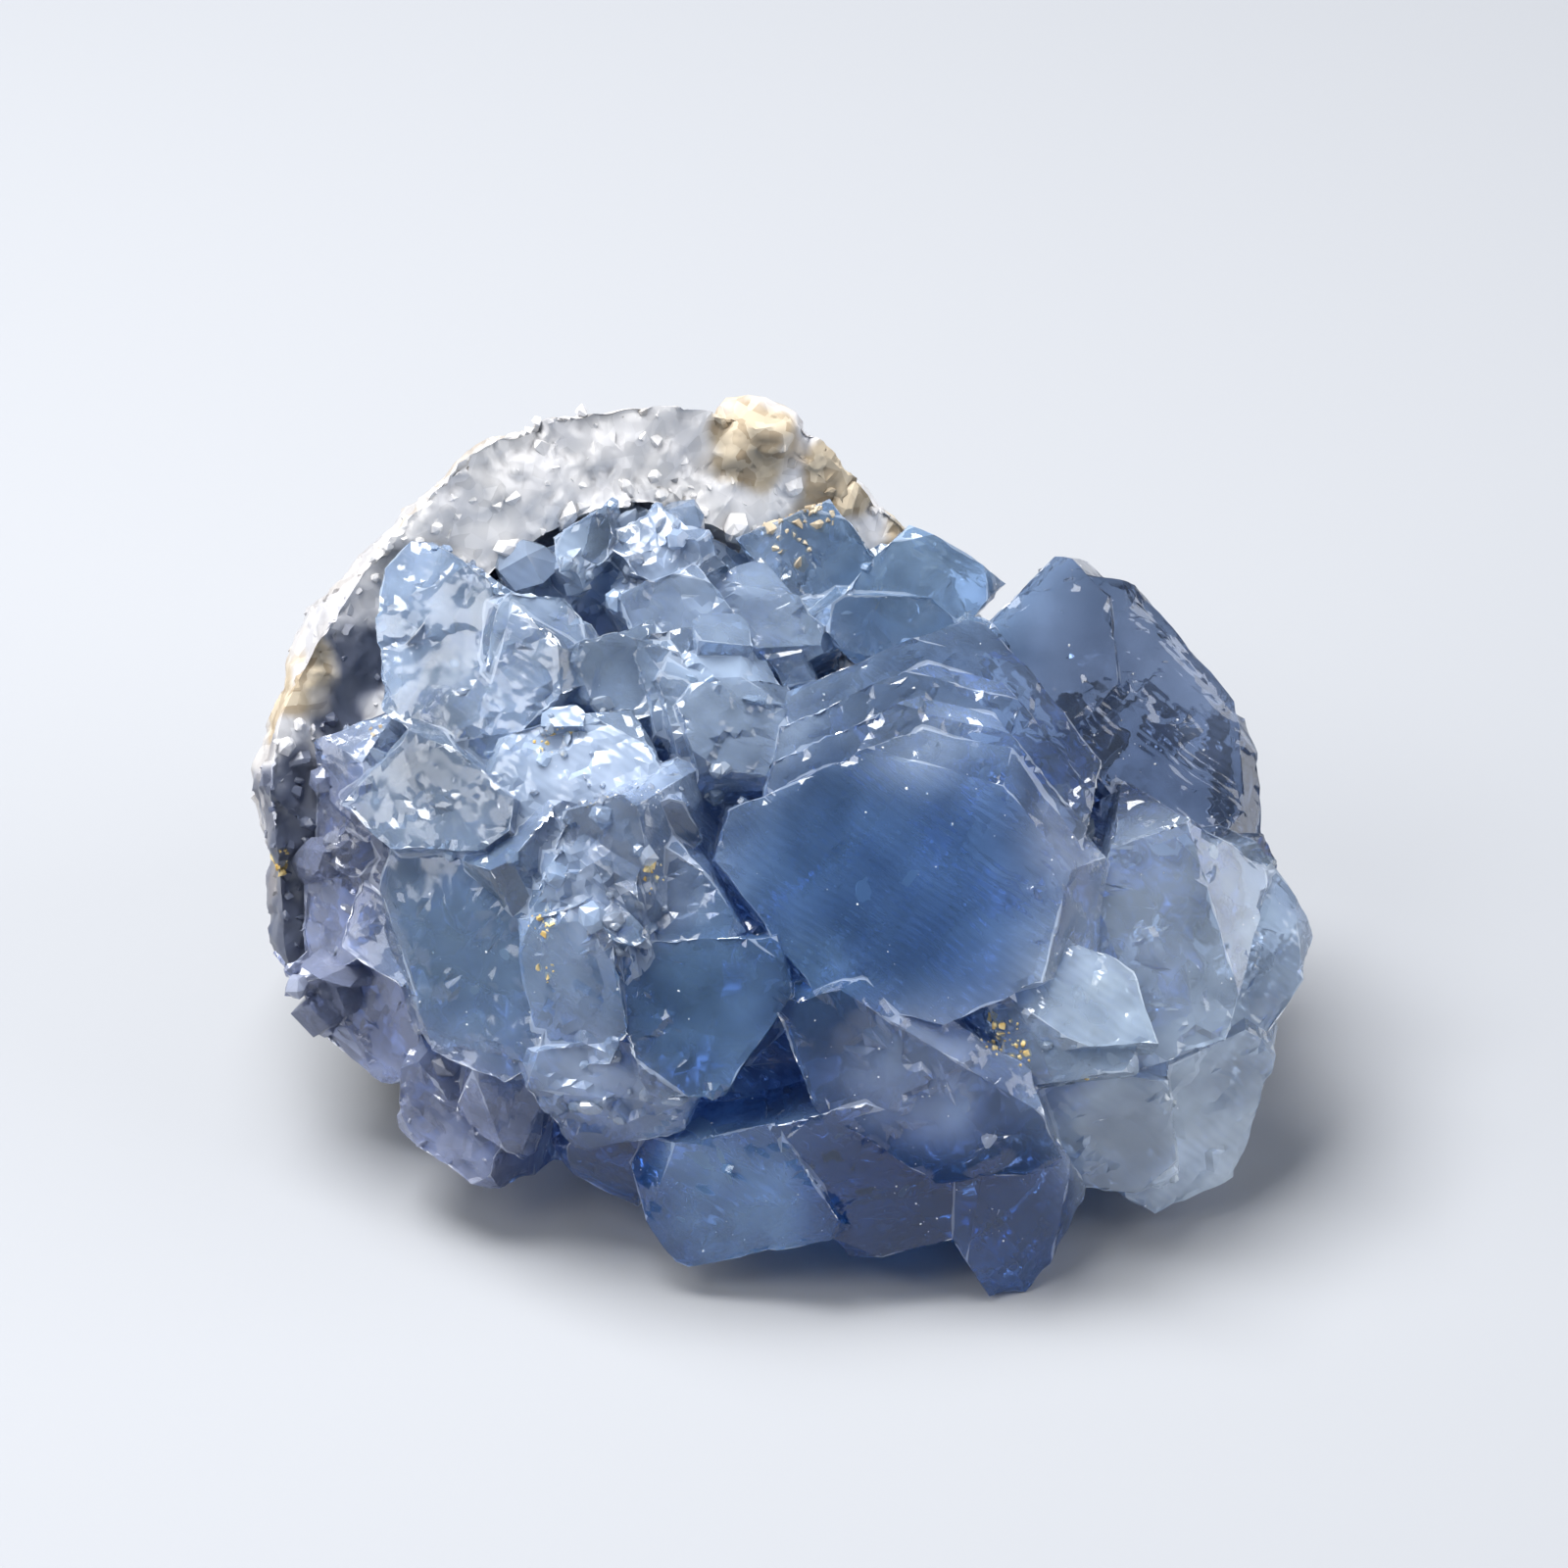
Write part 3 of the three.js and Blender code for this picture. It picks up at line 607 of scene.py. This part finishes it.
# %% The scattering tree
SCATTER_INPUTS = {
    "Surface": "NodeSocketGeometry", "Shapes": "NodeSocketCollection", "Where": "NodeSocketString",
    "Spacing": "NodeSocketFloat", "Density": "NodeSocketFloat", "Smallest": "NodeSocketFloat",
    "Largest": "NodeSocketFloat", "Tilt": "NodeSocketFloat", "Seed": "NodeSocketInt",
    "Finish": "NodeSocketMaterial",
}
scatter_tree = bpy.data.node_groups.new("scatter small bodies", "GeometryNodeTree")
for name, kind in SCATTER_INPUTS.items():
    scatter_tree.interface.new_socket(name, in_out="INPUT", socket_type=kind)
scatter_tree.interface.new_socket("Bodies", in_out="OUTPUT", socket_type="NodeSocketGeometry")

given = add_node(scatter_tree, "NodeGroupInput").outputs
where = add_node(scatter_tree, "GeometryNodeInputNamedAttribute", {"Name": given["Where"]}, data_type="FLOAT")
spread = add_node(scatter_tree, "GeometryNodeDistributePointsOnFaces", {
    "Mesh": given["Surface"], "Distance Min": given["Spacing"], "Density Max": given["Density"],
    "Density Factor": where.outputs["Attribute"], "Seed": given["Seed"],
}, distribute_method="POISSON")
shapes = add_node(scatter_tree, "GeometryNodeCollectionInfo", {
    "Collection": given["Shapes"], "Separate Children": True, "Reset Children": True})
lean = add_node(scatter_tree, "ShaderNodeCombineXYZ", {"X": given["Tilt"], "Y": given["Tilt"], "Z": math.pi})
back = add_node(scatter_tree, "ShaderNodeVectorMath", {0: lean.outputs[0], "Scale": -1.0}, operation="SCALE")
turn = add_node(scatter_tree, "FunctionNodeRandomValue", {
    0: back.outputs[0], 1: lean.outputs[0], "Seed": given["Seed"]}, data_type="FLOAT_VECTOR")
turned = add_node(scatter_tree, "FunctionNodeRotateRotation", {
    "Rotation": spread.outputs["Rotation"], "Rotate By": turn.outputs[0]}, rotation_space="LOCAL")
chance = add_node(scatter_tree, "FunctionNodeRandomValue", {"Seed": given["Seed"]}, data_type="FLOAT")
mostly_small = add_node(scatter_tree, "ShaderNodeMath", {0: chance.outputs[1], 1: 2.2}, operation="POWER")
size = add_node(scatter_tree, "ShaderNodeMapRange", {
    "Value": mostly_small.outputs[0], 3: given["Smallest"], 4: given["Largest"]})
placed = add_node(scatter_tree, "GeometryNodeInstanceOnPoints", {
    "Points": spread.outputs["Points"], "Instance": shapes.outputs[0], "Pick Instance": True,
    "Rotation": turned.outputs[0], "Scale": size.outputs[0],
})
real = add_node(scatter_tree, "GeometryNodeRealizeInstances", {"Geometry": placed.outputs[0]})
finished = add_node(scatter_tree, "GeometryNodeSetMaterial", {
    "Geometry": real.outputs[0], "Material": given["Finish"]})
add_node(scatter_tree, "NodeGroupOutput", {"Bodies": finished.outputs[0]})
print("scattering tree with", len(scatter_tree.nodes), "nodes")

# %% Small shapes to scatter
def hull(name, corners):
    bm = bmesh.new()
    for corner in corners:
        bm.verts.new(corner)
    made = bmesh.ops.convex_hull(bm, input=bm.verts)
    bmesh.ops.delete(bm, geom=made["geom_interior"], context="VERTS")
    bmesh.ops.recalc_face_normals(bm, faces=bm.faces)
    mesh = bpy.data.meshes.new(name)
    bm.to_mesh(mesh)
    bm.free()
    return bpy.data.objects.new(name, mesh)


def shape_family(name, members):
    family = bpy.data.collections.new(name)
    for member in members:
        family.objects.link(member)
    return family


def tablet(name, long, wide, top, seed):
    """A small tabular crystal: a six-sided plate with sloping upper edges, grown a little unevenly."""
    chance = np.random.default_rng(seed)
    side = 0.45 * long
    outline = [(long, 0), (side, wide), (-side, wide), (-long, 0), (-side, -wide), (side, -wide)]
    levels = [(0.75, top), (0.35, 1.0), (-0.7, 1.0)]
    return hull(name, [Vector((x * grow, y * grow, height)) + Vector(chance.uniform(-0.16, 0.16, size=3))
                       for height, grow in levels for x, y in outline])


def grain(name, seed):
    """A blocky grain: the hull of a few points about a ball that is mostly sunk."""
    chance = np.random.default_rng(seed)
    sunk = Vector((0, 0, -0.6))
    return hull(name, [Vector(chance.normal(size=3)).normalized() * chance.uniform(0.75, 1.1) + sunk
                       for _ in range(14)])


tablets = shape_family("tablets", [
    tablet("tablet_long", 1.3, 0.6, 0.5, 1), tablet("tablet_square", 0.9, 0.8, 0.6, 2),
    tablet("tablet_blade", 1.5, 0.35, 0.7, 3), tablet("tablet_broad", 1.1, 0.9, 0.4, 4),
    tablet("tablet_stub", 0.8, 0.6, 0.5, 5)])
grains_family = shape_family("grains", [grain(f"grain_{seed}", seed) for seed in range(5)])

# %% Scatter on a surface
identifiers = {
    item.name: item.identifier for item in scatter_tree.interface.items_tree if item.in_out == "INPUT"}


def scatter(name, surface, slot_name, **inputs):
    carrier = bpy.data.objects.new(name + "_carrier", surface.data)
    bpy.context.collection.objects.link(carrier)
    modifier = carrier.modifiers.new("scatter", "NODES")
    modifier.node_group = scatter_tree
    for key, value in inputs.items():
        modifier[identifiers[key]] = value
    evaluated = carrier.evaluated_get(bpy.context.evaluated_depsgraph_get())
    mesh = bpy.data.meshes.new_from_object(evaluated)
    mesh.name = name
    bpy.data.objects.remove(carrier)
    piece = bpy.data.objects.new(name, mesh)
    bpy.context.collection.objects.link(piece)
    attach(piece, "root")
    print(name, "has", len(mesh.polygons), "faces")


# %% [markdown]
# ## Frost crystals
# On the frosted patches thousands of small tabular crystals stand a few tenths of a millimetre proud. They are
# the same mineral, but too small to look blue, so their finish is paler and has no absorption. Larger crystals
# sit in loose clusters between them and take the finish of the druse.

# %% Frost crystals
frost_finish, tree = new_material("small celestite crystals")
tint = add_node(tree, "ShaderNodeAttribute", attribute_name="tint").outputs["Color"]
paler = add_node(tree, "ShaderNodeMix", {"Factor": 0.45, "A": tint, "B": linear("#eef2f8")}, data_type="RGBA")
surface = add_node(tree, "ShaderNodeBsdfPrincipled", {
    "Base Color": colour_output(paler), "Roughness": 0.06, "IOR": CELESTITE_IOR, "Transmission Weight": 0.7})
add_node(tree, "ShaderNodeOutputMaterial", {"Surface": surface.outputs[0]})

FLOOR_GAP_MM = 3.2
FROST_PATCH = 3.5 * MM


def clear_of_floor(points):
    """0 for points so low that a body on them would reach into the floor, 1 higher up."""
    return np.clip(points[:, 2] / MM - FLOOR_GAP_MM, 0, 1)


frost_points = np.array([vert.co for vert in druse_mesh.vertices])
lifted = clear_of_floor(frost_points)
patchy = np.array([noise.noise(Vector(point) / FROST_PATCH) for point in frost_points])
keep(druse_mesh, "sprout", lifted * np.clip((frost_share - 0.32) * 2.2 + 0.5 * patchy, 0, 1))
keep(druse_mesh, "cluster", lifted * np.clip((frost_share - 0.18) * 2.5 + 0.8 * patchy, 0, 1))
scatter(
    "frost_crystals", druse, "celestite", Shapes=tablets, Where="sprout", Spacing=0.45 * MM, Density=1.2 / MM ** 2,
    Smallest=0.16 * MM, Largest=0.8 * MM, Tilt=0.9, Seed=3, Finish=frost_finish)
scatter(
    "cluster_crystals", druse, "celestite", Shapes=tablets, Where="cluster", Spacing=2.2 * MM,
    Density=0.12 / MM ** 2, Smallest=0.4 * MM, Largest=1.0 * MM, Tilt=1.0, Seed=8, Finish=celestite)

# %% [markdown]
# ## Healed cracks inside the crystals
# Clear celestite is full of old cracks that healed and left thin silvery sheets. They are what makes a crystal
# look like ice and not like blue glass. Each is a flat, thin flake that hangs below the face it is scattered on.

# %% Healed cracks
def flake(name, seed):
    """A thin sheet of uneven outline, some way below the point that it is scattered on."""
    chance = np.random.default_rng(seed)
    turn = Euler(chance.uniform(-1.2, 1.2, size=3)).to_matrix()
    below = Vector((0, 0, -1.7))
    corners = []
    for angle in np.linspace(0, math.tau, 9)[:-1]:
        reach = chance.uniform(0.5, 1.0)
        for height in (-0.02, 0.02):
            corner = Vector((reach * math.cos(angle), 0.6 * reach * math.sin(angle), height))
            corners.append(turn @ corner + below)
    return hull(name, corners)


flakes = shape_family("flakes", [flake(f"flake_{seed}", seed) for seed in range(6)])
# a healed crack: a sheet of bubbles, silvery and only half clear
crack_finish, tree = new_material("healed crack")
surface = add_node(tree, "ShaderNodeBsdfPrincipled", {
    "Base Color": linear("#e8eef7"), "Roughness": 0.2, "IOR": 1.3, "Transmission Weight": 0.55})
add_node(tree, "ShaderNodeOutputMaterial", {"Surface": surface.outputs[0]})
away_from_edges = np.clip(edge_distance / MM - 0.8, 0, 1)
keep(druse_mesh, "cracked", lifted * np.clip(0.5 + 1.5 * patchy, 0, 1) * away_from_edges)
scatter(
    "healed_cracks", druse, "celestite", Shapes=flakes, Where="cracked", Spacing=2.8 * MM, Density=0.05 / MM ** 2,
    Smallest=0.6 * MM, Largest=2.4 * MM, Tilt=0.4, Seed=21, Finish=crack_finish)

# %% [markdown]
# ## Sugar grains on the rind
# The wall's own grains stand out of it at the rim and on its skin. They are blocky, not tabular, because each
# was hemmed in by its neighbours.

# %% Sugar grains
rind_lifted = clear_of_floor(rind_points)
keep(rind_mesh, "sugar", rind_lifted * np.clip(1 - 1.2 * host_share, 0, 1))
scatter(
    "sugar_grains", rind, "rind", Shapes=grains_family, Where="sugar", Spacing=1.1 * MM, Density=0.3 / MM ** 2,
    Smallest=0.35 * MM, Largest=1.1 * MM, Tilt=0.5, Seed=5, Finish=sugary)

# %% [markdown]
# ## Caps along the rim
# Where the rind meets the druse there is no seam on the real piece: pale crystals stand on the rim and lean over
# the blue ones. They are scattered where rind and druse lie close to each other and look the same way as the
# break: small ones on the rind, larger blue ones on the druse.

# %% Rim caps
def closeness(points, others, reach):
    """1 where a point touches the other surface, 0 from this reach on."""
    tree = kdtree.KDTree(len(others))
    for index, other in enumerate(others):
        tree.insert(other, index)
    tree.balance()
    return np.array([max(0.0, 1 - tree.find(point)[2] / reach) for point in points])


def facing_out(mesh):
    return np.array([max(0.0, vert.normal.dot(RIM_FACING)) for vert in mesh.vertices])


RIM_REACH = 2.5 * MM
near_druse = 3 * closeness(rind_points, frost_points, RIM_REACH) * facing_out(rind_mesh)
near_rind = 3 * closeness(frost_points, rind_points, RIM_REACH) * facing_out(druse_mesh)
keep(rind_mesh, "capped", rind_lifted * np.clip(near_druse, 0, 1))
keep(druse_mesh, "bridged", lifted * np.clip(near_rind, 0, 1))
scatter(
    "rim_caps", rind, "rind", Shapes=tablets, Where="capped", Spacing=1.3 * MM, Density=0.4 / MM ** 2,
    Smallest=0.35 * MM, Largest=1.1 * MM, Tilt=0.7, Seed=31, Finish=sugary)
scatter(
    "bridging_caps", druse, "celestite", Shapes=tablets, Where="bridged", Spacing=1.2 * MM, Density=0.6 / MM ** 2,
    Smallest=0.8 * MM, Largest=2.6 * MM, Tilt=0.7, Seed=37, Finish=celestite)

# %% [markdown]
# ## Ochre and dust
# A few crumbs of yellow iron ochre sit in the hollows, some limestone is left at the top, and the handled faces
# carry white dust of crushed celestite. All are grains like the sugar, in other colours and sizes.

# %% Ochre grains
# middle in millimetres, radius
OCHRE = [
    ((-16.2, -10.8, 36.2), 1.5), ((-17.1, -21.0, 27.1), 1.3), ((-17.0, -22.0, 23.9), 1.2),
    ((16.5, -24.8, 19.5), 2.2), ((-12.0, -16.0, 34.0), 1.6), ((-9.0, -20.0, 31.0), 1.4), ((22.5, -24.0, 17.0), 1.6),
]
RIND_OCHRE = [((-36.9, -7.3, 22.3), 1.3)]
# ochre is an earthy iron oxide: warm yellow, without gloss
ochre_finish, tree = new_material("yellow iron ochre")
place = add_node(tree, "ShaderNodeTexCoord").outputs["Object"]
clouds = add_node(tree, "ShaderNodeTexNoise", {"Vector": place, "Scale": per_mm(0.8), "Detail": 3.0})
colour = add_node(tree, "ShaderNodeValToRGB", {"Fac": clouds.outputs[0]})
set_ramp(colour, (0.35, "#c09a4a"), (0.65, "#ecd9a4"))
surface = add_node(tree, "ShaderNodeBsdfPrincipled", {"Base Color": colour.outputs[0], "Roughness": 0.75})
add_node(tree, "ShaderNodeOutputMaterial", {"Surface": surface.outputs[0]})
keep(druse_mesh, "ochre", lifted * spots_share(frost_points, OCHRE, 0.5, 1.0 * MM))
scatter(
    "ochre_grains", druse, "rind", Shapes=grains_family, Where="ochre", Spacing=0.3 * MM, Density=3.0 / MM ** 2,
    Smallest=0.12 * MM, Largest=0.5 * MM, Tilt=0.6, Seed=12, Finish=ochre_finish)
keep(rind_mesh, "ochre", rind_lifted * spots_share(rind_points, RIND_OCHRE, 0.5, 1.0 * MM))
scatter(
    "rind_ochre", rind, "rind", Shapes=grains_family, Where="ochre", Spacing=0.3 * MM, Density=3.0 / MM ** 2,
    Smallest=0.2 * MM, Largest=0.6 * MM, Tilt=0.6, Seed=13, Finish=ochre_finish)

# %% Limestone crumbs
CRUMBS = [((0.4, 12.9, 40.0), 2.6), ((3.0, 13.5, 40.5), 2.2), ((1.6, 11.4, 38.6), 1.6), ((-29.5, -4.0, 33.0), 1.8)]
keep(druse_mesh, "crumbs", lifted * spots_share(frost_points, CRUMBS, 0.6, 1.2 * MM))
keep(druse_mesh, "host", np.ones(len(frost_points)))  # all of a crumb is host rock
scatter(
    "limestone_crumbs", druse, "rind", Shapes=grains_family, Where="crumbs", Spacing=0.4 * MM,
    Density=2.5 / MM ** 2, Smallest=0.25 * MM, Largest=0.8 * MM, Tilt=0.6, Seed=14, Finish=sugary)

# %% Dust
CLUMP_WIDTH = 1.8 * MM
DUSTY = [
    ((7.6, -29.2, 10.3), 8.0), ((17.4, -28.7, 7.7), 6.0), ((9.6, -27.7, 17.0), 8.0), ((-2.0, -29.4, 9.0), 6.0),
    ((13.0, -16.0, 33.0), 6.0), ((-13.0, -15.0, 33.0), 8.0), ((-22.0, -20.0, 20.0), 7.0), ((26.0, 0.0, 30.0), 7.0),
]
# crushed celestite is a fine, matt white powder
dust_finish, tree = new_material("white celestite dust")
surface = add_node(tree, "ShaderNodeBsdfPrincipled", {"Base Color": linear("#e4e6ea"), "Roughness": 0.8})
add_node(tree, "ShaderNodeOutputMaterial", {"Surface": surface.outputs[0]})
clumps = np.array([max(0.0, noise.noise(Vector(point) / CLUMP_WIDTH) + 0.1) for point in frost_points])
keep(druse_mesh, "dust", clumps * (0.15 + 1.2 * spots_share(frost_points, DUSTY, 1.0, 2.0 * MM)))
scatter(
    "celestite_dust", druse, "celestite", Shapes=grains_family, Where="dust", Spacing=0.25 * MM,
    Density=1.3 / MM ** 2, Smallest=0.04 * MM, Largest=0.16 * MM, Tilt=0.6, Seed=17, Finish=dust_finish)
